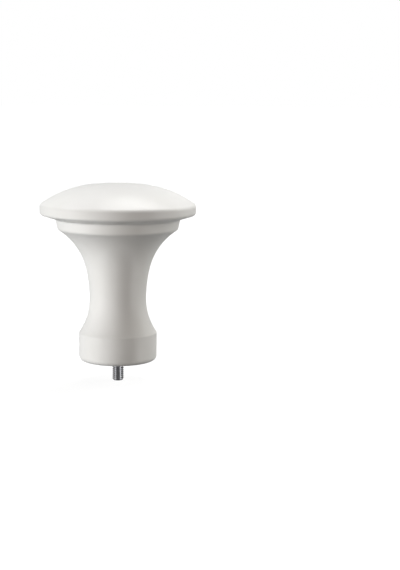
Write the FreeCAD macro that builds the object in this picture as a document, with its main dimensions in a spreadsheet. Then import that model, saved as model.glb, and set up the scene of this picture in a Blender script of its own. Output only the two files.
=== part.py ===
"""Curtain pole finial: a turned, flared body with a threaded stud fixed in its seat.

The origin is the middle of the seat, the flat face that meets the pole's end. +Z runs along
the turning axis towards the domed front, so the stud points down -Z. Lengths are in mm.
"""
import FreeCAD, Part
import math
import os

import Sketcher

Vector = FreeCAD.Vector

# Driving dimensions: name, value, what it measures
SIZES = [
    ("base_diameter", 26.85, "barrel above the seat"),
    ("shoulder_height", 9.75, "seat to the shoulder"),
    ("shoulder_to_waist", 11.85, "shoulder up to the narrowest place of the neck"),
    ("waist_diameter", 19.45, "neck at its narrowest place"),
    ("throat_length", 10.5, "waist up to where the neck starts to flare"),
    ("throat_radius", 45.0, "hollow curve of the throat"),
    ("waist_to_ring", 24.05, "waist up to the lower edge of the ring"),
    ("ring_lower_diameter", 41.3, "ring at its lower edge"),
    ("ring_upper_diameter", 42.85, "ring where it meets the rim"),
    ("ring_height", 3.55, "ring, lower edge to upper edge"),
    ("head_diameter", 53.5, "rim at its widest"),
    ("underside_rise", 1.6, "slope of the rim's underside, from the ring outwards"),
    ("rim_height", 3.5, "upright side of the rim, before its edges are rounded"),
    ("dome_rise", 7.05, "rim's upper edge to the top of the dome"),
    ("crown_diameter", 19.0, "flatter middle of the dome"),
    ("crown_radius", 85.0, "curve of that flatter middle"),
    ("base_round", 1.7, "rounded edge of the seat"),
    ("shoulder_round", 0.45, "softened shoulder"),
    ("ring_round", 1.0, "rounded lower edge of the ring"),
    ("cove_round", 0.25, "hollow corner between the ring and the rim"),
    ("rim_lower_round", 1.4, "lower edge of the rim"),
    ("rim_upper_round", 1.9, "upper edge of the rim"),
    ("stud_diameter", 4.0, "outside of the metric thread"),
    ("stud_reach", 7.2, "stud that stands out of the seat"),
    ("stud_chamfer", 0.5, "tip of the stud"),
    ("anchor_diameter", 5.0, "thicker end of the stud, held in the body"),
    ("anchor_setback", 0.4, "seat to the thicker end"),
    ("anchor_length", 18.0, "length of the thicker end"),
    ("anchor_chamfer", 0.6, "inner tip of the stud"),
    ("anchor_fit", 0.05, "gap round the thicker end"),
    ("anchor_end_gap", 0.3, "gap past the inner tip"),
    ("drill_angle", 118.0, "point of the drilled hole"),
    ("mouth_bevel", 0.65, "countersink at the hole's mouth, measured outwards from its wall"),
    ("mouth_angle", 90.0, "countersink, side to side"),
]

# How a sketch refers to its origin point, its upright axis and the places on an edge
START, END, MIDDLE = 1, 2, 3
ORIGIN = (-1, START)
UPRIGHT = -2


def write_sizes(doc):
    """Put every driving dimension in the sheet, one row each, with its name as alias."""
    sheet = doc.addObject("Spreadsheet::Sheet", "Sizes")
    for row, (name, value, meaning) in enumerate(SIZES, start=1):
        sheet.set(f"A{row}", name)
        sheet.set(f"B{row}", str(value))
        sheet.set(f"C{row}", meaning)
        sheet.setAlias(f"B{row}", name)
    doc.recompute()
    return sheet


def origin_feature(body, role):
    """Plane or axis of the body's own origin."""
    return next(item for item in body.Origin.OriginFeatures if item.Role == role)


def new_sketch(body, name, role):
    """Sketch on one of the body's own origin planes."""
    sketch = body.newObject("Sketcher::SketchObject", name)
    sketch.AttachmentSupport = [(origin_feature(body, role), "")]
    sketch.MapMode = "FlatFace"
    return sketch


def drive(sketch, name, constraint, formula):
    """Add a named dimension and bind it to the sheet."""
    index = sketch.addConstraint(constraint)
    sketch.renameConstraint(index, name)
    sketch.setExpression(f"Constraints.{name}", formula)


def arc_centre(start, normal, target):
    """Centre of the arc that leaves start square to normal and ends at target."""
    reach = target - start
    return start + normal * (reach.Length ** 2 / (2 * reach.dot(normal)))


def add_arc(sketch, centre, first, last):
    """Arc drawn anticlockwise about centre, from first to last."""
    start_angle = math.atan2(first.y - centre.y, first.x - centre.x)
    end_angle = math.atan2(last.y - centre.y, last.x - centre.x)
    if end_angle <= start_angle:
        end_angle += 2 * math.pi
    circle = Part.Circle(centre, Vector(0, 0, 1), (first - centre).Length)
    return sketch.addGeometry(Part.ArcOfCircle(circle, start_angle, end_angle))


def step_in(edge, corner, distance):
    """Point on an edge, that distance in from whichever of its ends is at the corner."""
    from_start = (edge.StartPoint - corner).Length
    from_end = (edge.EndPoint - corner).Length
    if from_start < from_end:
        parameter = edge.parameterAtDistance(distance, edge.FirstParameter)
    else:
        parameter = edge.parameterAtDistance(-distance, edge.LastParameter)
    return edge.value(parameter)


def round_corner(sketch, before, after, corner, name, radius):
    """Named radius between two edges that meet at a corner of the outline."""
    near_before = step_in(sketch.Geometry[before], corner, radius)
    near_after = step_in(sketch.Geometry[after], corner, radius)
    sketch.fillet(before, after, near_before, near_after, radius, True, False)
    arc = len(sketch.Geometry) - 1
    drive(sketch, name, Sketcher.Constraint("Radius", arc, radius), f"Sizes.{name}")


def outline_points(sheet):
    """Corners of the body's half section: x is the radius, y the height above the seat."""
    shoulder_height = sheet.shoulder_height
    waist_height = shoulder_height + sheet.shoulder_to_waist
    ring_height = waist_height + sheet.waist_to_ring
    rim_foot = ring_height + sheet.ring_height
    rim_low = rim_foot + sheet.underside_rise
    rim_high = rim_low + sheet.rim_height
    top = rim_high + sheet.dome_rise

    waist = Vector(sheet.waist_diameter / 2, waist_height)
    throat_centre = waist + Vector(sheet.throat_radius, 0)
    throat_turn = math.asin(sheet.throat_length / sheet.throat_radius)
    throat_normal = Vector(math.cos(throat_turn), -math.sin(throat_turn))
    crown_centre = Vector(0, top - sheet.crown_radius)
    crown_turn = math.asin(sheet.crown_diameter / 2 / sheet.crown_radius)
    crown_normal = Vector(-math.sin(crown_turn), -math.cos(crown_turn))
    return {
        "seat": Vector(0, 0),
        "seat_edge": Vector(sheet.base_diameter / 2, 0),
        "shoulder": Vector(sheet.base_diameter / 2, shoulder_height),
        "waist": waist,
        "throat_centre": throat_centre,
        "throat_normal": throat_normal,
        "flare_start": throat_centre - throat_normal * sheet.throat_radius,
        "ring_low": Vector(sheet.ring_lower_diameter / 2, ring_height),
        "ring_high": Vector(sheet.ring_upper_diameter / 2, rim_foot),
        "rim_low": Vector(sheet.head_diameter / 2, rim_low),
        "rim_high": Vector(sheet.head_diameter / 2, rim_high),
        "crown_centre": crown_centre,
        "crown_normal": crown_normal,
        "crown_edge": crown_centre - crown_normal * sheet.crown_radius,
        "top": Vector(0, top),
    }


def draw_outline(body, points, sheet):
    """Half section of the turned body, seat to dome, closed along the turning axis."""
    sketch = new_sketch(body, "TurningOutline", "XZ_Plane")

    def line(first, last):
        return sketch.addGeometry(Part.LineSegment(points[first], points[last]))

    def constrain(kind, *references):
        sketch.addConstraint(Sketcher.Constraint(kind, *references))

    seat = line("seat", "seat_edge")
    barrel = line("seat_edge", "shoulder")
    collar_centre = arc_centre(points["waist"], Vector(1, 0), points["shoulder"])
    collar = add_arc(sketch, collar_centre, points["waist"], points["shoulder"])
    throat = add_arc(sketch, points["throat_centre"], points["flare_start"], points["waist"])
    flare_centre = arc_centre(points["flare_start"], points["throat_normal"], points["ring_low"])
    flare = add_arc(sketch, flare_centre, points["ring_low"], points["flare_start"])
    ring = line("ring_low", "ring_high")
    underside = line("ring_high", "rim_low")
    rim = line("rim_low", "rim_high")
    brow_centre = arc_centre(points["crown_edge"], points["crown_normal"], points["rim_high"])
    brow = add_arc(sketch, brow_centre, points["rim_high"], points["crown_edge"])
    crown = add_arc(sketch, points["crown_centre"], points["crown_edge"], points["top"])
    axis = line("top", "seat")

    constrain("Coincident", seat, START, *ORIGIN)
    constrain("Horizontal", seat)
    constrain("Vertical", barrel)
    constrain("Coincident", collar, START, throat, END)
    constrain("Horizontal", collar, MIDDLE, collar, START)
    constrain("Horizontal", throat, MIDDLE, throat, END)
    constrain("Tangent", throat, START, flare, END)
    constrain("Vertical", rim)
    constrain("Tangent", brow, END, crown, START)
    constrain("PointOnObject", crown, MIDDLE, UPRIGHT)
    constrain("Coincident", crown, END, axis, START)
    constrain("Coincident", axis, END, *ORIGIN)
    constrain("Vertical", axis)

    def corner(name, before, after):
        """The sharp corner where two edges meet, kept as the point that is measured."""
        point = sketch.addGeometry(Part.Point(points[name]), True)
        constrain("PointOnObject", point, START, before)
        constrain("PointOnObject", point, START, after)
        return (point, START)

    seat_edge = corner("seat_edge", seat, barrel)
    shoulder = corner("shoulder", barrel, collar)
    ring_low = corner("ring_low", flare, ring)
    ring_high = corner("ring_high", ring, underside)
    rim_low = corner("rim_low", underside, rim)
    rim_high = corner("rim_high", rim, brow)
    waist = (throat, END)
    flare_start = (throat, START)
    crown_edge = (crown, START)
    top = (axis, START)

    def across(diameter, place):
        """Half of a named diameter, measured out from the turning axis."""
        half = sheet.get(diameter) / 2
        distance = Sketcher.Constraint("DistanceX", *ORIGIN, *place, half)
        drive(sketch, diameter, distance, f"Sizes.{diameter} / 2")

    def upward(rise, lower, upper):
        """A named height between two places of the outline."""
        distance = Sketcher.Constraint("DistanceY", *lower, *upper, sheet.get(rise))
        drive(sketch, rise, distance, f"Sizes.{rise}")

    def curve(name, arc):
        """The named radius of an arc."""
        drive(sketch, name, Sketcher.Constraint("Radius", arc, sheet.get(name)), f"Sizes.{name}")

    across("base_diameter", seat_edge)
    across("waist_diameter", waist)
    across("ring_lower_diameter", ring_low)
    across("ring_upper_diameter", ring_high)
    across("head_diameter", rim_low)
    across("crown_diameter", crown_edge)
    upward("shoulder_height", seat_edge, shoulder)
    upward("shoulder_to_waist", shoulder, waist)
    upward("throat_length", waist, flare_start)
    upward("waist_to_ring", waist, ring_low)
    upward("ring_height", ring_low, ring_high)
    upward("underside_rise", ring_high, rim_low)
    upward("rim_height", rim_low, rim_high)
    upward("dome_rise", rim_high, top)
    curve("throat_radius", throat)
    curve("crown_radius", crown)

    def soften(name, before, after, radius_name):
        """Round a sharp corner; the corner point itself stays where it is."""
        radius = sheet.get(radius_name)
        round_corner(sketch, before, after, points[name], radius_name, radius)

    soften("seat_edge", seat, barrel, "base_round")
    soften("shoulder", barrel, collar, "shoulder_round")
    soften("ring_low", flare, ring, "ring_round")
    soften("ring_high", ring, underside, "cove_round")
    soften("rim_low", underside, rim, "rim_lower_round")
    soften("rim_high", rim, brow, "rim_upper_round")
    return sketch


def revolve(body, sketch, name):
    """Turn a half section all the way round the sketch's upright axis."""
    turned = body.newObject("PartDesign::Revolution", name)
    turned.Profile = sketch
    turned.ReferenceAxis = (sketch, ["V_Axis"])
    turned.Angle = 360
    sketch.Visibility = False
    body.Document.recompute()


def drill_anchor_hole(body, sheet):
    """Blind hole up from the seat for the stud's thicker end, with a countersunk mouth."""
    doc = body.Document
    solid_volume = body.Tip.Shape.Volume
    sketch = new_sketch(body, "HoleCentre", "XY_Plane")
    hole_radius = sheet.anchor_diameter / 2 + sheet.anchor_fit
    circle = sketch.addGeometry(Part.Circle(Vector(0, 0), Vector(0, 0, 1), hole_radius))
    sketch.addConstraint(Sketcher.Constraint("Coincident", circle, MIDDLE, *ORIGIN))
    drive(
        sketch,
        "hole_radius",
        Sketcher.Constraint("Radius", circle, hole_radius),
        "Sizes.anchor_diameter / 2 + Sizes.anchor_fit",
    )
    doc.recompute()

    hole = body.newObject("PartDesign::Hole", "AnchorHole")
    hole.Profile = sketch
    doc.recompute()
    hole.Reversed = True
    hole.DepthType = "Dimension"
    hole.DrillPoint = "Angled"
    hole.HoleCutType = "Countersink"
    bore = "Sizes.anchor_diameter + 2 * Sizes.anchor_fit"
    depth = "Sizes.anchor_setback + Sizes.anchor_length + Sizes.anchor_end_gap"
    hole.setExpression("Diameter", bore)
    hole.setExpression("Depth", depth)
    hole.setExpression("DrillPointAngle", "Sizes.drill_angle")
    hole.setExpression("HoleCutDiameter", f"{bore} + 2 * Sizes.mouth_bevel")
    hole.setExpression("HoleCutCountersinkAngle", "Sizes.mouth_angle")
    doc.recompute()
    sketch.Visibility = False
    if hole.Shape.Volume >= solid_volume:
        raise ValueError("the anchor hole cuts nothing from the body")


def make_turned_body(doc, sheet):
    """The finial itself: barrel, flared neck, ring, rim and dome in one turned piece."""
    body = doc.addObject("PartDesign::Body", "TurnedBody")
    body.Label = "turned_body"
    outline = draw_outline(body, outline_points(sheet), sheet)
    revolve(body, outline, "TurnedForm")
    drill_anchor_hole(body, sheet)
    return body


def draw_stud(body, sheet):
    """Half section of the stud, from the tip that stands out to the end in the body."""
    sketch = new_sketch(body, "StudOutline", "XZ_Plane")
    thread_radius = sheet.stud_diameter / 2
    tip_radius = thread_radius - sheet.stud_chamfer
    anchor_radius = sheet.anchor_diameter / 2
    inner_radius = anchor_radius - sheet.anchor_chamfer
    anchor_top = sheet.anchor_setback + sheet.anchor_length
    corners = [
        Vector(0, -sheet.stud_reach),
        Vector(tip_radius, -sheet.stud_reach),
        Vector(thread_radius, sheet.stud_chamfer - sheet.stud_reach),
        Vector(thread_radius, sheet.anchor_setback),
        Vector(anchor_radius, sheet.anchor_setback),
        Vector(anchor_radius, anchor_top - sheet.anchor_chamfer),
        Vector(inner_radius, anchor_top),
        Vector(0, anchor_top),
    ]
    count = len(corners)
    following = [(index + 1) % count for index in range(count)]
    for corner, next_corner in zip(corners, [corners[index] for index in following]):
        sketch.addGeometry(Part.LineSegment(corner, next_corner))
    for edge, next_edge in enumerate(following):
        sketch.addConstraint(Sketcher.Constraint("Coincident", edge, END, next_edge, START))
    tip, chamfer, thread, step, anchor, inner_chamfer, inner_end, axis = range(count)
    for edge in (tip, step, inner_end):
        sketch.addConstraint(Sketcher.Constraint("Horizontal", edge))
    for edge in (thread, anchor):
        sketch.addConstraint(Sketcher.Constraint("Vertical", edge))
    for place in (START, END):
        sketch.addConstraint(Sketcher.Constraint("PointOnObject", axis, place, UPRIGHT))

    def across(name, edge, radius, formula):
        """How far out from the axis an edge starts."""
        distance = Sketcher.Constraint("DistanceX", *ORIGIN, edge, START, radius)
        drive(sketch, name, distance, formula)

    def upward(rise, lower, upper):
        """A named length along the stud."""
        distance = Sketcher.Constraint("DistanceY", *lower, *upper, sheet.get(rise))
        drive(sketch, rise, distance, f"Sizes.{rise}")

    across("tip_radius", chamfer, tip_radius, "Sizes.stud_diameter / 2 - Sizes.stud_chamfer")
    across("thread_radius", thread, thread_radius, "Sizes.stud_diameter / 2")
    across("anchor_radius", anchor, anchor_radius, "Sizes.anchor_diameter / 2")
    inner_formula = "Sizes.anchor_diameter / 2 - Sizes.anchor_chamfer"
    across("inner_radius", inner_end, inner_radius, inner_formula)
    upward("stud_reach", (tip, START), ORIGIN)
    upward("stud_chamfer", (chamfer, START), (chamfer, END))
    upward("anchor_setback", ORIGIN, (step, START))
    upward("anchor_length", (step, START), (inner_end, START))
    upward("anchor_chamfer", (inner_chamfer, START), (inner_chamfer, END))
    return sketch


def make_threaded_stud(doc, sheet):
    """Double-ended stud: metric thread out of the seat, thicker end fixed in the body."""
    body = doc.addObject("PartDesign::Body", "ThreadedStud")
    body.Label = "threaded_stud"
    revolve(body, draw_stud(body, sheet), "StudForm")
    return body


def check_document(doc):
    """Stop if anything in the document failed to compute."""
    for item in doc.Objects:
        if {"Invalid", "Error"} & set(item.State):
            raise ValueError(f"{item.Label} failed: {item.State}")


def export(bodies):
    """Write each piece's shape to a file of its own, named after the piece."""
    os.makedirs("parts", exist_ok=True)
    for body in bodies:
        shape = body.Shape
        if shape.isNull() or not shape.isValid() or not shape.Solids:
            raise ValueError(f"{body.Label} is not a valid solid")
        shape.exportStep(f"parts/{body.Label}.step")
        box = shape.optimalBoundingBox(False)
        size = f"{box.XLength:.2f} x {box.YLength:.2f} x {box.ZLength:.2f} mm"
        print(f"{body.Label}: {size}, {shape.Volume:.1f} mm3")


def main():
    doc = FreeCAD.newDocument("Finial")
    sheet = write_sizes(doc)
    bodies = [make_turned_body(doc, sheet), make_threaded_stud(doc, sheet)]
    for body in bodies:
        body.Placement = FreeCAD.Placement()
    doc.recompute()
    check_document(doc)
    export(bodies)


main()
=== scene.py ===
"""Curtain pole finial: the lacquered turned body, the plated stud with its thread, a plain studio.

Lengths are in metres in the frame's own axes: the origin is the middle of the seat, and +Z
runs up the turning axis to the dome, so the stud points down.
"""
import math
from collections import namedtuple

import bmesh
import bpy
from bpy.props import FloatProperty, FloatVectorProperty, IntProperty, PointerProperty
from bpy.types import Operator, Panel, PropertyGroup
from mathutils import Matrix, Quaternion, Vector


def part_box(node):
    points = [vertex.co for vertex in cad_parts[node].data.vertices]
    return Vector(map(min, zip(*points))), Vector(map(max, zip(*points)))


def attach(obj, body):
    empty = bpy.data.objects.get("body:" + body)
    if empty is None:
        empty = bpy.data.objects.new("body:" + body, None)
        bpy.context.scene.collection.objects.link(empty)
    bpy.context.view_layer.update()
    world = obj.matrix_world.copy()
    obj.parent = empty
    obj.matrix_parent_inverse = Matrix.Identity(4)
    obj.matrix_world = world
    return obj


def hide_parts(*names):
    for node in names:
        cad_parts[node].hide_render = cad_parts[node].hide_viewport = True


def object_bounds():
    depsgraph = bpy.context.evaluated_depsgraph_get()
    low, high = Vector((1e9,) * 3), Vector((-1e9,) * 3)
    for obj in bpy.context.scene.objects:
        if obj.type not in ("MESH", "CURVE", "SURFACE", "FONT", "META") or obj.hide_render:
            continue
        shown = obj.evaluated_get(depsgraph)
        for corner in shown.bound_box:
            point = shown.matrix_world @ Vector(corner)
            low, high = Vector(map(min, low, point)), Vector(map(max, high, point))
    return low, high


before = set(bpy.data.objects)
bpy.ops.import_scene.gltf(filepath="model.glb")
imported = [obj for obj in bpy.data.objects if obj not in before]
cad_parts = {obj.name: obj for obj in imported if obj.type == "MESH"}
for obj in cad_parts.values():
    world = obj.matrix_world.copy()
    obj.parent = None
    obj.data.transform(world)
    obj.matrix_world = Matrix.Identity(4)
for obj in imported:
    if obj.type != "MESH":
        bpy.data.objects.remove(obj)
CAD_LOW, CAD_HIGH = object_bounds()
BODY_LOW, BODY_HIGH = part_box("turned_body")
STUD_LOW, STUD_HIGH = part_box("threaded_stud")

bl_info = {
    "name": "Curtain pole finial",
    "version": (1, 0, 0),
    "blender": (4, 5, 0),
    "location": "3D View > Sidebar > Finial",
    "description": "Makes a lacquered curtain pole finial with a threaded stud, and a studio for it",
    "category": "Object",
}

MM = 0.001
PHOTO_WIDTH = 400
PHOTO_HEIGHT = 570


def length(name, default, description):
    """Length property; the default is in metres."""
    return FloatProperty(
        name=name,
        description=description,
        default=default,
        min=0.0,
        precision=5,
        subtype="DISTANCE",
        unit="LENGTH",
    )


def turn(name, degrees, description):
    """Angle property; the default is in degrees."""
    return FloatProperty(
        name=name,
        description=description,
        default=math.radians(degrees),
        subtype="ANGLE",
        unit="ROTATION",
    )


def colour(name, default, description):
    """Colour property with linear channels."""
    return FloatVectorProperty(
        name=name,
        description=description,
        default=default,
        min=0.0,
        max=1.0,
        size=3,
        subtype="COLOR",
    )


def share(name, default, description):
    """Number from 0 to 1."""
    return FloatProperty(
        name=name, description=description, default=default, min=0.0, max=1.0, subtype="FACTOR"
    )


class FinialBodySizes(PropertyGroup):
    """Outline of the turned body, from the drilled hole in its seat to the dome."""

    base_diameter: length("Base", 26.85 * MM, "Barrel above the seat")
    shoulder_height: length("Shoulder height", 9.75 * MM, "Seat to the shoulder")
    shoulder_to_waist: length("Shoulder to waist", 11.85 * MM, "Up to the narrowest place")
    waist_diameter: length("Waist", 19.45 * MM, "Neck at its narrowest place")
    throat_length: length("Throat", 10.5 * MM, "Waist up to where the flare starts")
    throat_radius: length("Throat radius", 45.0 * MM, "Hollow curve of the throat")
    waist_to_ring: length("Waist to ring", 24.05 * MM, "Waist up to the ring's lower edge")
    ring_lower_diameter: length("Ring, lower", 41.3 * MM, "Ring at its lower edge")
    ring_upper_diameter: length("Ring, upper", 42.85 * MM, "Ring where it meets the rim")
    ring_height: length("Ring height", 3.55 * MM, "Lower edge to upper edge")
    head_diameter: length("Head", BODY_HIGH.x - BODY_LOW.x, "Rim at its widest")
    underside_rise: length("Underside rise", 1.6 * MM, "Slope of the rim's underside")
    rim_height: length("Rim height", 3.3 * MM, "Upright side of the rim")
    top_height: length("Top height", BODY_HIGH.z, "Seat to the top of the dome")
    crown_diameter: length("Crown", 19.0 * MM, "Flatter middle of the dome")
    crown_radius: length("Crown radius", 85.0 * MM, "Curve of that flatter middle")
    base_round: length("Base rounding", 1.7 * MM, "Edge of the seat")
    shoulder_round: length("Shoulder rounding", 0.45 * MM, "Softened shoulder")
    ring_round: length("Ring rounding", 1.3 * MM, "Lower edge of the ring")
    cove_round: length("Cove rounding", 0.9 * MM, "Hollow corner between ring and rim")
    rim_lower_round: length("Lower rim rounding", 1.1 * MM, "Lower edge of the rim")
    rim_upper_round: length("Upper rim rounding", 1.4 * MM, "Upper edge of the rim")
    hole_radius: length("Hole radius", 2.55 * MM, "Drilled hole for the stud")
    hole_depth: length("Hole depth", 18.7 * MM, "Seat to the end of the hole's wall")
    drill_angle: turn("Drill point", 118.0, "Angle of the hole's pointed end")
    mouth_bevel: length("Hole bevel", 0.65 * MM, "Countersink at the hole's mouth")
    segments: IntProperty(
        name="Segments", description="Facets round the body", default=192, min=24, max=512
    )


class FinialStudSizes(PropertyGroup):
    """Double-ended stud: metric thread outside, thicker end in the body."""

    thread_diameter: length("Thread", 4.0 * MM, "Outside of the thread")
    pitch: length("Pitch", 0.7 * MM, "Thread crest to thread crest")
    reach: length("Reach", -STUD_LOW.z, "Stud that stands out of the seat")
    tip_chamfer: length("Tip chamfer", 0.5 * MM, "Bevelled tip")
    anchor_diameter: length("Anchor", STUD_HIGH.x - STUD_LOW.x, "Thicker end in the body")
    anchor_setback: length("Anchor setback", 0.4 * MM, "Seat to the thicker end")
    anchor_chamfer: length("Anchor chamfer", 0.6 * MM, "Bevelled inner tip")
    start_turn: turn("Thread start", 90.0, "Where round the stud the thread begins")
    segments: IntProperty(
        name="Segments", description="Facets round the stud", default=96, min=24, max=256
    )


class FinialFinish(PropertyGroup):
    """Colour and gloss of the lacquer and of the plating."""

    lacquer: colour("Lacquer", (0.86, 0.85, 0.83), "Warm white satin lacquer")
    lacquer_shade: colour("Lacquer, thin", (0.835, 0.825, 0.80), "Where the coat lies thinner")
    lacquer_gloss: share("Lacquer roughness", 0.3, "Roughness where the lacquer is smoothest")
    lacquer_satin: share("Lacquer satin", 0.38, "Roughness where the lacquer is most matt")
    lacquer_reflection: share("Lacquer reflection", 0.32, "How much the lacquer mirrors")
    zinc: colour("Zinc", (0.62, 0.62, 0.63), "Bright zinc plating")
    zinc_shade: colour("Zinc, dull", (0.50, 0.50, 0.52), "Duller patches of the plating")
    zinc_gloss: share("Zinc roughness", 0.2, "Roughness of the bright plating")
    zinc_satin: share("Zinc satin", 0.26, "Roughness of the duller patches")


class FinialStage(PropertyGroup):
    """Where the camera stands, and the level of the light."""

    camera_distance: length("Camera distance", 475.4 * MM, "Camera to the aimed height")
    camera_height: turn("Camera height", 8.3, "Camera above the horizon")
    aim_height: length("Aim height", 26.16 * MM, "Height on the axis at mid-picture")
    pixel_size: length("Pixel size", MM / 2.89, "Width that one pixel covers at the axis")
    axis_column: FloatProperty(
        name="Axis column",
        description="Column of the picture where the turning axis stands",
        default=118.0,
        subtype="PIXEL",
    )
    floor_gap: length("Floor gap", 0.05 * MM, "Floor below the stud's tip")
    ambient: share("Ambient", 0.06, "Light that comes from all round")
    ambient_tint: colour("Ambient tint", (0.98, 0.98, 1.0), "Warmth of that light")


class Edge:
    """Straight or round stretch of a half section, walked with the solid on its left.

    A point is (radius, height). A straight edge has no centre.
    """

    def __init__(self, first, last, centre=None):
        self.first = first
        self.last = last
        self.centre = centre
        self.radius = 0.0 if centre is None else (first - centre).length

    def sweep(self):
        """Signed angle of a round edge, positive anticlockwise."""
        before = self.first - self.centre
        after = self.last - self.centre
        return math.atan2(before.cross(after), before.dot(after))

    def left(self, point):
        """Unit vector to the left of the walk, beside a point."""
        if self.centre is None:
            along = (self.last - self.first).normalized()
            return Vector((-along.y, along.x))
        outward = (point - self.centre).normalized()
        return -outward if self.sweep() > 0 else outward

    def gap(self, point):
        """How far a point stands to the left of the edge."""
        if self.centre is None:
            return (point - self.first).dot(self.left(point))
        outside = (point - self.centre).length - self.radius
        return -outside if self.sweep() > 0 else outside

    def foot(self, point):
        """The place on the edge that is nearest to a point."""
        return point - self.left(point) * self.gap(point)

    def at(self, portion):
        """Place that lies a portion of the way along."""
        if self.centre is None:
            return self.first.lerp(self.last, portion)
        return self.centre + Matrix.Rotation(self.sweep() * portion, 2) @ (self.first - self.centre)

    def steps(self, longest, sharpest):
        """Stretches that the edge needs, none longer or bent more than that."""
        if self.centre is None:
            return math.ceil((self.last - self.first).length / longest)
        bend = abs(self.sweep())
        return math.ceil(max(bend * self.radius / longest, bend / sharpest))


# Steps that bring a rolled circle to rest against both edges of a corner
SETTLING_STEPS = 8


def rounding(before, after, radius):
    """Arc of that radius that touches two edges near the corner where they meet."""
    corner = before.last
    side = math.copysign(1.0, before.left(corner).cross(after.left(corner)))
    centre = corner + (before.left(corner) + after.left(corner)) * side * radius
    for _ in range(SETTLING_STEPS):
        lefts = Matrix((before.left(centre), after.left(centre)))
        misses = Vector((
            side * radius - before.gap(centre),
            side * radius - after.gap(centre),
        ))
        centre = centre + lefts.inverted() @ misses
    return Edge(before.foot(centre), after.foot(centre), centre)


def soften(edges, radii):
    """The walk with its corners rounded; a radius of 0 leaves a corner sharp."""
    softened = [edges[0]]
    for edge, radius in zip(edges[1:], radii):
        if radius > 0:
            before = softened.pop()
            arc = rounding(before, edge, radius)
            softened.append(Edge(before.first, arc.first, before.centre))
            softened.append(arc)
            edge = Edge(arc.last, edge.last, edge.centre)
        softened.append(edge)
    return softened


# How finely an edge is divided: its longest and its sharpest stretch, and its fewest stretches
LONGEST_STEP = 0.6 * MM
SHARPEST_STEP = math.radians(9)
FEWEST_STEPS = 6


def trace(edges):
    """Points along the walk, closer together where two edges meet."""
    points = [edges[0].first]
    for edge in edges:
        count = max(edge.steps(LONGEST_STEP, SHARPEST_STEP), FEWEST_STEPS)
        for step in range(1, count + 1):
            portion = (1 - math.cos(math.pi * step / count)) / 2
            points.append(edge.at(portion))
    return points


def arc_centre(start, normal, target):
    """Centre of the arc that leaves start square to normal and ends at target."""
    reach = target - start
    return start + normal * (reach.length_squared / (2 * reach.dot(normal)))


def body_walk(sizes):
    """Half section of the turned body, from the point of its drilled hole to the dome."""
    waist_height = sizes.shoulder_height + sizes.shoulder_to_waist
    ring_height = waist_height + sizes.waist_to_ring
    rim_foot = ring_height + sizes.ring_height
    rim_low_height = rim_foot + sizes.underside_rise
    point_height = sizes.hole_radius / math.tan(sizes.drill_angle / 2)
    throat_turn = math.asin(sizes.throat_length / sizes.throat_radius)
    crown_turn = math.asin(sizes.crown_diameter / 2 / sizes.crown_radius)

    hole_point = Vector((0, sizes.hole_depth + point_height))
    hole_end = Vector((sizes.hole_radius, sizes.hole_depth))
    mouth_inside = Vector((sizes.hole_radius, sizes.mouth_bevel))
    mouth_edge = Vector((sizes.hole_radius + sizes.mouth_bevel, 0))
    seat_edge = Vector((sizes.base_diameter / 2, 0))
    shoulder = Vector((sizes.base_diameter / 2, sizes.shoulder_height))
    waist = Vector((sizes.waist_diameter / 2, waist_height))
    throat_centre = waist + Vector((sizes.throat_radius, 0))
    throat_normal = Vector((math.cos(throat_turn), -math.sin(throat_turn)))
    flare_start = throat_centre - throat_normal * sizes.throat_radius
    ring_low = Vector((sizes.ring_lower_diameter / 2, ring_height))
    ring_high = Vector((sizes.ring_upper_diameter / 2, rim_foot))
    rim_low = Vector((sizes.head_diameter / 2, rim_low_height))
    rim_high = Vector((sizes.head_diameter / 2, rim_low_height + sizes.rim_height))
    crown_centre = Vector((0, sizes.top_height - sizes.crown_radius))
    crown_normal = Vector((-math.sin(crown_turn), -math.cos(crown_turn)))
    crown_edge = crown_centre - crown_normal * sizes.crown_radius
    top = Vector((0, sizes.top_height))

    collar_centre = arc_centre(waist, Vector((1, 0)), shoulder)
    flare_centre = arc_centre(flare_start, throat_normal, ring_low)
    brow_centre = arc_centre(crown_edge, crown_normal, rim_high)
    edges = [
        Edge(hole_point, hole_end),
        Edge(hole_end, mouth_inside),
        Edge(mouth_inside, mouth_edge),
        Edge(mouth_edge, seat_edge),
        Edge(seat_edge, shoulder),
        Edge(shoulder, waist, collar_centre),
        Edge(waist, flare_start, throat_centre),
        Edge(flare_start, ring_low, flare_centre),
        Edge(ring_low, ring_high),
        Edge(ring_high, rim_low),
        Edge(rim_low, rim_high),
        Edge(rim_high, crown_edge, brow_centre),
        Edge(crown_edge, top, crown_centre),
    ]
    # One radius for each corner, in the order of the walk
    radii = [
        0,
        0,
        0,
        sizes.base_round,
        sizes.shoulder_round,
        0,
        0,
        sizes.ring_round,
        sizes.cove_round,
        sizes.rim_lower_round,
        sizes.rim_upper_round,
        0,
    ]
    return soften(edges, radii)


def stud_walk(sizes):
    """Half section of the stud's blank, from its tip to the end in the body."""
    thread_radius = sizes.thread_diameter / 2
    anchor_radius = sizes.anchor_diameter / 2
    corners = [
        Vector((0, -sizes.reach)),
        Vector((thread_radius - sizes.tip_chamfer, -sizes.reach)),
        Vector((thread_radius, sizes.tip_chamfer - sizes.reach)),
        Vector((thread_radius, sizes.anchor_setback)),
        Vector((anchor_radius, sizes.anchor_setback)),
        Vector((anchor_radius, STUD_HIGH.z - sizes.anchor_chamfer)),
        Vector((anchor_radius - sizes.anchor_chamfer, STUD_HIGH.z)),
        Vector((0, STUD_HIGH.z)),
    ]
    return [Edge(first, last) for first, last in zip(corners, corners[1:])]


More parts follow.
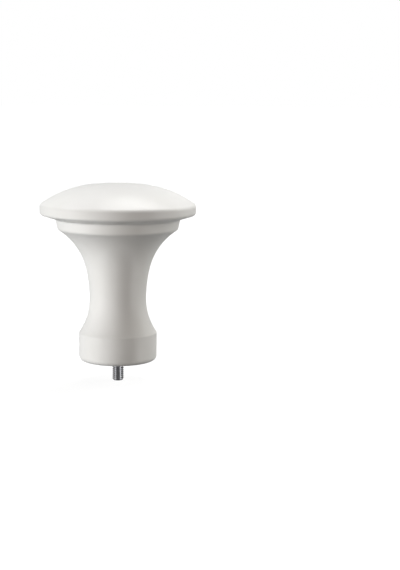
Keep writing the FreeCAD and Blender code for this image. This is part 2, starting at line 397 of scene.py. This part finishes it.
def lathe(name, points, segments):
    """Mesh of a half section turned about Z; its first and last points are on the axis."""
    mesh = bmesh.new()
    rings = []
    for point in points[1:-1]:
        ring = []
        for segment in range(segments):
            angle = 2 * math.pi * segment / segments
            place = (point.x * math.cos(angle), point.x * math.sin(angle), point.y)
            ring.append(mesh.verts.new(place))
        rings.append(ring)
    start = mesh.verts.new((0, 0, points[0].y))
    end = mesh.verts.new((0, 0, points[-1].y))
    for this in range(segments):
        following = (this + 1) % segments
        mesh.faces.new((start, rings[0][following], rings[0][this]))
        for lower, upper in zip(rings, rings[1:]):
            mesh.faces.new((lower[this], lower[following], upper[following], upper[this]))
        mesh.faces.new((end, rings[-1][this], rings[-1][following]))
    data = bpy.data.meshes.new(name)
    mesh.to_mesh(data)
    mesh.free()
    return data


# Depth, root radius and crest width of a metric thread, as shares of its pitch
ROOT_DEPTH = 0.61343
ROOT_ROUND = 0.14434
CREST_FLAT = 0.125
# Slope of each flank, and how far the round root turns to each side
FLANK_ANGLE = math.radians(30)
ROOT_SWEEP = math.radians(60)
ROOT_POINTS = 5
# How far the cutter stands out of the crests, and how far it stays below the thicker end
GROOVE_CLEARANCE = 0.03 * MM
TOP_CLEARANCE = 0.03 * MM
# The last turns of the groove, in which the cutter lifts out of the stud
RUN_OUT_TURNS = 0.75
RUN_OUT_LIFT = 0.46 * MM


def groove_section(sizes):
    """Section of the thread's groove, (radius, height): straight flanks and a round root."""
    crest_radius = sizes.thread_diameter / 2
    root_radius = crest_radius - ROOT_DEPTH * sizes.pitch
    root_round = ROOT_ROUND * sizes.pitch
    open_radius = crest_radius + GROOVE_CLEARANCE
    open_half = sizes.pitch * (1 - CREST_FLAT) / 2 + GROOVE_CLEARANCE * math.tan(FLANK_ANGLE)
    section = [(open_radius, -open_half)]
    for index in range(ROOT_POINTS):
        angle = ROOT_SWEEP * (2 * index / (ROOT_POINTS - 1) - 1)
        radius = root_radius + root_round * (1 - math.cos(angle))
        section.append((radius, root_round * math.sin(angle)))
    section.append((open_radius, open_half))
    return section


def thread_cutter(sizes):
    """Closed helical solid that a right-hand thread's groove is cut with."""
    section = groove_section(sizes)
    first_height = -sizes.reach - sizes.pitch
    last_height = sizes.anchor_setback - section[-1][1] - TOP_CLEARANCE
    turns = (last_height - first_height) / sizes.pitch
    count = math.ceil(turns * sizes.segments)
    mesh = bmesh.new()
    loops = []
    for index in range(count + 1):
        turned = turns * index / count
        angle = 2 * math.pi * turned + sizes.start_turn
        lift = RUN_OUT_LIFT * max(0.0, 1 - (turns - turned) / RUN_OUT_TURNS) ** 2
        loop = []
        for radius, height in section:
            out = radius + lift
            place = (
                out * math.cos(angle),
                out * math.sin(angle),
                first_height + sizes.pitch * turned + height,
            )
            loop.append(mesh.verts.new(place))
        loops.append(loop)
    corners = len(section)
    for before, after in zip(loops, loops[1:]):
        for corner in range(corners):
            beside = (corner + 1) % corners
            mesh.faces.new((before[corner], after[corner], after[beside], before[beside]))
    mesh.faces.new(loops[0])
    mesh.faces.new(reversed(loops[-1]))
    bmesh.ops.recalc_face_normals(mesh, faces=mesh.faces)
    data = bpy.data.meshes.new("thread_cutter")
    mesh.to_mesh(data)
    mesh.free()
    return data


def cut(blank, cutter):
    """Mesh of one object with another one's solid cut away; both objects are removed."""
    modifier = blank.modifiers.new("Thread", "BOOLEAN")
    modifier.operation = "DIFFERENCE"
    modifier.solver = "EXACT"
    modifier.object = cutter
    depsgraph = bpy.context.evaluated_depsgraph_get()
    data = bpy.data.meshes.new_from_object(blank.evaluated_get(depsgraph))
    bpy.data.objects.remove(blank)
    bpy.data.objects.remove(cutter)
    return data


def add_object(name, data):
    """New object in the scene, at the frame's origin."""
    item = bpy.data.objects.new(name, data)
    bpy.context.scene.collection.objects.link(item)
    return item


SHARP_ANGLE = math.radians(32)
WELD_DISTANCE = 0.0005 * MM


def finish_surface(data):
    """Smooth shading, with the edges that are really sharp kept sharp."""
    mesh = bmesh.new()
    mesh.from_mesh(data)
    bmesh.ops.remove_doubles(mesh, verts=mesh.verts, dist=WELD_DISTANCE)
    for face in mesh.faces:
        face.smooth = True
    for edge in mesh.edges:
        edge.smooth = edge.calc_face_angle(0.0) < SHARP_ANGLE
    mesh.to_mesh(data)
    mesh.free()


def new_material(name):
    """New material with nodes; returns it and its shader."""
    material = bpy.data.materials.new(name)
    material.use_nodes = True
    return material, material.node_tree.nodes["Principled BSDF"]


def feed(tree, socket, value):
    """Set a socket to a value, or link it where the value is another node's output."""
    if isinstance(value, bpy.types.NodeSocket):
        tree.links.new(value, socket)
    else:
        socket.default_value = value


def add_node(tree, kind, settings=None, **inputs):
    """Node with its settings and inputs; an underscore stands for a space in an input's name."""
    item = tree.nodes.new(kind)
    for key, value in (settings or {}).items():
        setattr(item, key, value)
    for key, value in inputs.items():
        feed(tree, item.inputs[key.replace("_", " ")], value)
    return item


def arithmetic(tree, operation, *values):
    """Result of a Math node; a value is a number or another node's output."""
    item = add_node(tree, "ShaderNodeMath", {"operation": operation})
    for socket, value in zip(item.inputs, values):
        feed(tree, socket, value)
    return item.outputs["Value"]


def ramp(tree, value, start, end, low=0.0, high=1.0, interpolation="LINEAR"):
    """Value mapped from low at the start to high at the end, and flat beyond them."""
    return add_node(
        tree,
        "ShaderNodeMapRange",
        {"interpolation_type": interpolation},
        Value=value,
        From_Min=start,
        From_Max=end,
        To_Min=low,
        To_Max=high,
    ).outputs["Result"]


def noise(tree, place, size, detail=2.0):
    """Noise whose patches are about that size, in metres."""
    item = add_node(tree, "ShaderNodeTexNoise", Vector=place, Scale=1 / size, Detail=detail)
    return item.outputs["Fac"]


# Nearly all of a noise lies between these
NOISE_LOW = 0.3
NOISE_HIGH = 0.7


def spread(tree, value, low, high):
    """A noise mapped to run from low to high."""
    return ramp(tree, value, NOISE_LOW, NOISE_HIGH, low, high, "SMOOTHSTEP")


def opaque(tint):
    """The four channels that a colour socket takes."""
    return (*tint, 1)


def blend_colours(tree, portion, first, second):
    """Colour that runs from the first to the second; either may be another node's output."""
    settings = {"data_type": "RGBA"}
    mixed = add_node(tree, "ShaderNodeMix", settings, Factor=portion, A=first, B=second)
    return mixed.outputs["Result"]


def bump(tree, height, depth, below=None):
    """Relief of that depth in metres, over any relief below it."""
    raised = add_node(tree, "ShaderNodeBump", Height=height, Distance=depth, Strength=1.0)
    if below:
        tree.links.new(below, raised.inputs["Normal"])
    return raised.outputs["Normal"]


LACQUER_CLOUD_SIZE = 14 * MM
LACQUER_SATIN_SIZE = 3 * MM
TURNING_LINE_PITCH = 0.4 * MM
TURNING_LINE_WOBBLE = 1.2
TURNING_LINE_DEPTH = 0.0004 * MM
ORANGE_PEEL_SIZE = 0.9 * MM
ORANGE_PEEL_DEPTH = 0.004 * MM
# Width of one band of the Wave texture at a scale of 1
WAVE_BAND = 2 * math.pi / 20


def lacquer_material(finish):
    """Satin lacquer sprayed on turned wood: cloudy gloss, faint orange peel and turning lines."""
    material, shader = new_material("white_lacquer")
    tree = material.node_tree
    place = add_node(tree, "ShaderNodeTexCoord").outputs["Object"]
    clouds = spread(tree, noise(tree, place, LACQUER_CLOUD_SIZE), 0, 1)
    tint = blend_colours(tree, clouds, opaque(finish.lacquer), opaque(finish.lacquer_shade))
    patches = noise(tree, place, LACQUER_SATIN_SIZE, detail=4.0)
    satin = spread(tree, patches, finish.lacquer_gloss, finish.lacquer_satin)
    lines = add_node(
        tree,
        "ShaderNodeTexWave",
        {"wave_type": "BANDS", "bands_direction": "Z"},
        Vector=place,
        Scale=WAVE_BAND / TURNING_LINE_PITCH,
        Distortion=TURNING_LINE_WOBBLE,
        Detail=2.0,
    ).outputs["Fac"]
    relief = bump(tree, lines, TURNING_LINE_DEPTH)
    peel = noise(tree, place, ORANGE_PEEL_SIZE, detail=1.0)
    relief = bump(tree, peel, ORANGE_PEEL_DEPTH, relief)
    shader.inputs["Specular IOR Level"].default_value = finish.lacquer_reflection
    tree.links.new(tint, shader.inputs["Base Color"])
    tree.links.new(satin, shader.inputs["Roughness"])
    tree.links.new(relief, shader.inputs["Normal"])
    return material


ZINC_PATCH_SIZE = 0.8 * MM
ZINC_SATIN_SIZE = 0.5 * MM
ROLLING_MARK_SIZE = 0.12 * MM
ROLLING_MARK_DEPTH = 0.002 * MM


def zinc_material(finish):
    """Bright zinc plating, a little dull in patches, with fine marks from the thread rolling."""
    material, shader = new_material("zinc_plate")
    tree = material.node_tree
    place = add_node(tree, "ShaderNodeTexCoord").outputs["Object"]
    dull = spread(tree, noise(tree, place, ZINC_PATCH_SIZE, detail=3.0), 0, 1)
    tint = blend_colours(tree, dull, opaque(finish.zinc), opaque(finish.zinc_shade))
    patches = noise(tree, place, ZINC_SATIN_SIZE, detail=3.0)
    satin = spread(tree, patches, finish.zinc_gloss, finish.zinc_satin)
    relief = bump(tree, noise(tree, place, ROLLING_MARK_SIZE, detail=3.0), ROLLING_MARK_DEPTH)
    shader.inputs["Metallic"].default_value = 1.0
    tree.links.new(tint, shader.inputs["Base Color"])
    tree.links.new(satin, shader.inputs["Roughness"])
    tree.links.new(relief, shader.inputs["Normal"])
    return material


def dress(piece, node, material):
    """Shade a piece, put it on the body it belongs to and hide the CAD node whose place it takes."""
    finish_surface(piece.data)
    piece.data.materials.clear()
    piece.data.materials.append(material)
    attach(piece, "root")
    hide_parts(node)


class FINIAL_OT_turned_body(Operator):
    """Turn the lacquered body: barrel, flared neck, ring, rim and dome"""

    bl_idname = "finial.turned_body"
    bl_label = "Turned body"

    def execute(self, context):
        sizes = context.scene.finial_body
        data = lathe("lacquered_body", trace(body_walk(sizes)), sizes.segments)
        body = add_object("lacquered_body", data)
        material = lacquer_material(context.scene.finial_finish)
        dress(body, "turned_body", material)
        return {"FINISHED"}


class FINIAL_OT_threaded_stud(Operator):
    """Turn the stud's blank and cut its thread"""

    bl_idname = "finial.threaded_stud"
    bl_label = "Threaded stud"

    def execute(self, context):
        sizes = context.scene.finial_stud
        blank = lathe("stud_blank", trace(stud_walk(sizes)), sizes.segments)
        cutter = add_object("thread_cutter", thread_cutter(sizes))
        data = cut(add_object("stud_blank", blank), cutter)
        stud = add_object("plated_stud", data)
        material = zinc_material(context.scene.finial_finish)
        dress(stud, "threaded_stud", material)
        return {"FINISHED"}


# Softboxes are panels that face the object from this many metres away. Their angles are in
# degrees, seen from the object: azimuth 0 is the camera's side, and it grows towards the
# right of the picture. Widths and heights are in metres. A panel that isn't mirrored lights
# the object and doesn't show as a hot spot in its gloss.
SOFTBOX_DISTANCE = 0.9
Softbox = namedtuple("Softbox", "name azimuth elevation width height watts tint mirrored")
SOFTBOXES = [
    Softbox("key_left", -78, 3, 0.5, 0.16, 7.0, (0.97, 0.99, 1.0), False),
    Softbox("front", -14, 16, 0.4, 0.4, 2.1, (1.0, 0.925, 0.855), False),
    Softbox("fill_right", 108, 12, 0.5, 0.5, 5.0, (1.0, 0.99, 0.95), False),
    Softbox("overhead", 118, 72, 0.5, 0.4, 3.8, (0.95, 0.965, 1.0), False),
    Softbox("crown", 161, 68, 0.42, 0.42, 3.5, (0.99, 1.0, 0.98), True),
]


def from_object(azimuth, elevation):
    """Unit vector from the object towards a place in the studio, angles in degrees."""
    across = math.radians(azimuth)
    up = math.radians(elevation)
    return Vector((
        math.sin(across) * math.cos(up),
        -math.cos(across) * math.cos(up),
        math.sin(up),
    ))


def add_softbox(softbox, target):
    """Soft panel of light that faces the object and isn't seen by the camera."""
    data = bpy.data.lights.new(softbox.name, "AREA")
    data.shape = "RECTANGLE"
    data.size = softbox.width
    data.size_y = softbox.height
    data.energy = softbox.watts
    data.color = softbox.tint
    panel = add_object(softbox.name, data)
    outward = from_object(softbox.azimuth, softbox.elevation)
    panel.location = target + outward * SOFTBOX_DISTANCE
    panel.rotation_mode = "QUATERNION"
    panel.rotation_quaternion = (-outward).to_track_quat("-Z", "Y")
    panel.visible_camera = False
    panel.visible_glossy = softbox.mirrored


# Width of the camera's sensor in Blender's unit, millimetres
SENSOR_WIDTH = 36.0
# The camera sees from its distance divided by this to its distance times this
CLIP_FACTOR = 100


def add_camera(stage):
    """Camera at the photograph's viewing angle, panned so that the object is left of middle."""
    data = bpy.data.cameras.new("camera")
    focal_pixels = stage.camera_distance / stage.pixel_size
    data.sensor_width = SENSOR_WIDTH
    data.lens = data.sensor_width * focal_pixels / PHOTO_HEIGHT
    camera = add_object("camera", data)
    aim = Vector((0, 0, stage.aim_height))
    outward = from_object(0, math.degrees(stage.camera_height))
    pan = math.atan((PHOTO_WIDTH / 2 - stage.axis_column) / focal_pixels)
    camera.location = aim + outward * stage.camera_distance
    camera.rotation_mode = "QUATERNION"
    straight = (-outward).to_track_quat("-Z", "Y")
    camera.rotation_quaternion = straight @ Quaternion((0, 1, 0), -pan)
    data.clip_start = stage.camera_distance / CLIP_FACTOR
    data.clip_end = stage.camera_distance * CLIP_FACTOR
    bpy.context.scene.camera = camera


# How far the floor reaches each way, and, in metres from the object, where its glow starts to
# grow and where it is plain white. Nearer in, what the lamps add makes it about white too.
FLOOR_HALF = 6.0
FLOOR_NEAR = 0.15
FLOOR_FAR = 0.5
FLOOR_GLOW_NEAR = 0.92
FLOOR_GLOW_FAR = 1.0
FLOOR_COLOUR = (0.2, 0.2, 0.2)
FLOOR_GRAIN_SIZE = 4 * MM
FLOOR_SATIN = 0.55
FLOOR_MATT = 0.6
WHITE = (1, 1, 1)


def floor_material():
    """White floor: it catches the shadow, and further out the camera sees plain white."""
    material, shader = new_material("floor_white")
    tree = material.node_tree
    rays = add_node(tree, "ShaderNodeLightPath")
    place = add_node(tree, "ShaderNodeTexCoord").outputs["Object"]
    grain = spread(tree, noise(tree, place, FLOOR_GRAIN_SIZE), FLOOR_SATIN, FLOOR_MATT)
    away = add_node(tree, "ShaderNodeVectorMath", {"operation": "LENGTH"}, Vector=place)
    glow = ramp(
        tree, away.outputs["Value"], FLOOR_NEAR, FLOOR_FAR, FLOOR_GLOW_NEAR, FLOOR_GLOW_FAR
    )
    seen = arithmetic(tree, "MULTIPLY", rays.outputs["Is Camera Ray"], glow)
    shader.inputs["Base Color"].default_value = opaque(FLOOR_COLOUR)
    shader.inputs["Specular IOR Level"].default_value = 0.0
    shader.inputs["Emission Color"].default_value = opaque(WHITE)
    tree.links.new(grain, shader.inputs["Roughness"])
    tree.links.new(seen, shader.inputs["Emission Strength"])
    return material


def add_floor(stage):
    """Plain floor just under the stud's tip."""
    level = CAD_LOW.z - stage.floor_gap
    mesh = bmesh.new()
    bmesh.ops.create_grid(
        mesh, x_segments=1, y_segments=1, size=FLOOR_HALF, matrix=Matrix.Translation((0, 0, level))
    )
    data = bpy.data.meshes.new("floor")
    mesh.to_mesh(data)
    mesh.free()
    floor = add_object("floor", data)
    data.materials.append(floor_material())
    floor.visible_glossy = False


# The studio that gloss mirrors. Its places are a direction's Y, which is 1 straight away from
# the camera, or its Z, which is 1 straight up, and its strengths are 1 for white.
BACKDROP_STARTS = 0.6
BACKDROP_FULL = 0.9
BACKDROP_GLOSS = 0.45
BACKDROP_LOW_SHARE = 0.3
HORIZON_BELOW = -0.1
HORIZON_ABOVE = 0.1
STRIP_TOP = 0.1
STRIP_FULL = -0.05
FRONT_GLOSS = 0.25
Strip = namedtuple("Strip", "azimuth half_width edge strength")
# Bright strips low beside the object, with their angles in degrees
STRIPS = [
    Strip(-70, 18, 6, 1.7),
    Strip(66, 12, 5, 2.7),
]


def mirrored_studio(tree):
    """What gloss mirrors: a dim low front, bright low strips beside it and a pale backdrop."""
    direction = add_node(tree, "ShaderNodeTexCoord").outputs["Generated"]
    axes = add_node(tree, "ShaderNodeSeparateXYZ", Vector=direction).outputs
    toward_camera = arithmetic(tree, "MULTIPLY", axes["Y"], -1.0)
    azimuth = arithmetic(tree, "ARCTAN2", axes["X"], toward_camera)
    strips = FRONT_GLOSS
    for strip in STRIPS:
        off_centre = arithmetic(tree, "SUBTRACT", azimuth, math.radians(strip.azimuth))
        away = arithmetic(tree, "ABSOLUTE", off_centre)
        inside = math.radians(strip.half_width - strip.edge)
        outside = math.radians(strip.half_width + strip.edge)
        glow = ramp(tree, away, inside, outside, strip.strength, 0.0)
        strips = arithmetic(tree, "ADD", strips, glow)
    low = ramp(tree, axes["Z"], STRIP_TOP, STRIP_FULL)
    strips = arithmetic(tree, "MULTIPLY", strips, low)
    backdrop = ramp(tree, axes["Y"], BACKDROP_STARTS, BACKDROP_FULL, 0.0, BACKDROP_GLOSS)
    height = ramp(tree, axes["Z"], HORIZON_BELOW, HORIZON_ABOVE, BACKDROP_LOW_SHARE, 1.0)
    backdrop = arithmetic(tree, "MULTIPLY", backdrop, height)
    return arithmetic(tree, "ADD", strips, backdrop)


def light_world(stage):
    """White for the camera, a dim even light, and a studio that only gloss mirrors."""
    world = bpy.data.worlds.new("studio")
    bpy.context.scene.world = world
    world.use_nodes = True
    tree = world.node_tree
    rays = add_node(tree, "ShaderNodeLightPath")
    ambient = Vector(stage.ambient_tint) * stage.ambient
    light = blend_colours(tree, rays.outputs["Is Camera Ray"], opaque(ambient), opaque(WHITE))
    seen = blend_colours(tree, rays.outputs["Is Glossy Ray"], light, mirrored_studio(tree))
    tree.links.new(seen, tree.nodes["Background"].inputs["Color"])


class FINIAL_OT_stage(Operator):
    """Set up the floor, the soft light and the camera"""

    bl_idname = "finial.stage"
    bl_label = "Studio"

    def execute(self, context):
        stage = context.scene.finial_stage
        target = Vector((0, 0, stage.aim_height))
        add_floor(stage)
        for softbox in SOFTBOXES:
            add_softbox(softbox, target)
        light_world(stage)
        add_camera(stage)
        context.scene.view_settings.view_transform = "Standard"
        return {"FINISHED"}


class FINIAL_PT_sidebar(Panel):
    """The finial's operators, with the sizes and finishes that they use"""

    bl_label = "Curtain pole finial"
    bl_idname = "FINIAL_PT_sidebar"
    bl_space_type = "VIEW_3D"
    bl_region_type = "UI"
    bl_category = "Finial"

    def draw(self, context):
        scene = context.scene
        groups = (
            (FINIAL_OT_turned_body, scene.finial_body),
            (FINIAL_OT_threaded_stud, scene.finial_stud),
            (None, scene.finial_finish),
            (FINIAL_OT_stage, scene.finial_stage),
        )
        for operator, group in groups:
            box = self.layout.box()
            if operator:
                box.operator(operator.bl_idname)
            for name in group.bl_rna.properties.keys():
                if name not in ("rna_type", "name"):
                    box.prop(group, name)


CLASSES = (
    FinialBodySizes,
    FinialStudSizes,
    FinialFinish,
    FinialStage,
    FINIAL_OT_turned_body,
    FINIAL_OT_threaded_stud,
    FINIAL_OT_stage,
    FINIAL_PT_sidebar,
)
SETTINGS = {
    "finial_body": FinialBodySizes,
    "finial_stud": FinialStudSizes,
    "finial_finish": FinialFinish,
    "finial_stage": FinialStage,
}


def register():
    """Add the classes, and the settings that a scene holds."""
    for item in CLASSES:
        bpy.utils.register_class(item)
    for name, group in SETTINGS.items():
        setattr(bpy.types.Scene, name, PointerProperty(type=group))


def unregister():
    """Take the settings and the classes out again."""
    for name in SETTINGS:
        delattr(bpy.types.Scene, name)
    for item in reversed(CLASSES):
        bpy.utils.unregister_class(item)


def main():
    """Make the finial and its studio."""
    register()
    bpy.ops.finial.turned_body()
    bpy.ops.finial.threaded_stud()
    bpy.ops.finial.stage()


if __name__ == "__main__":
    main()
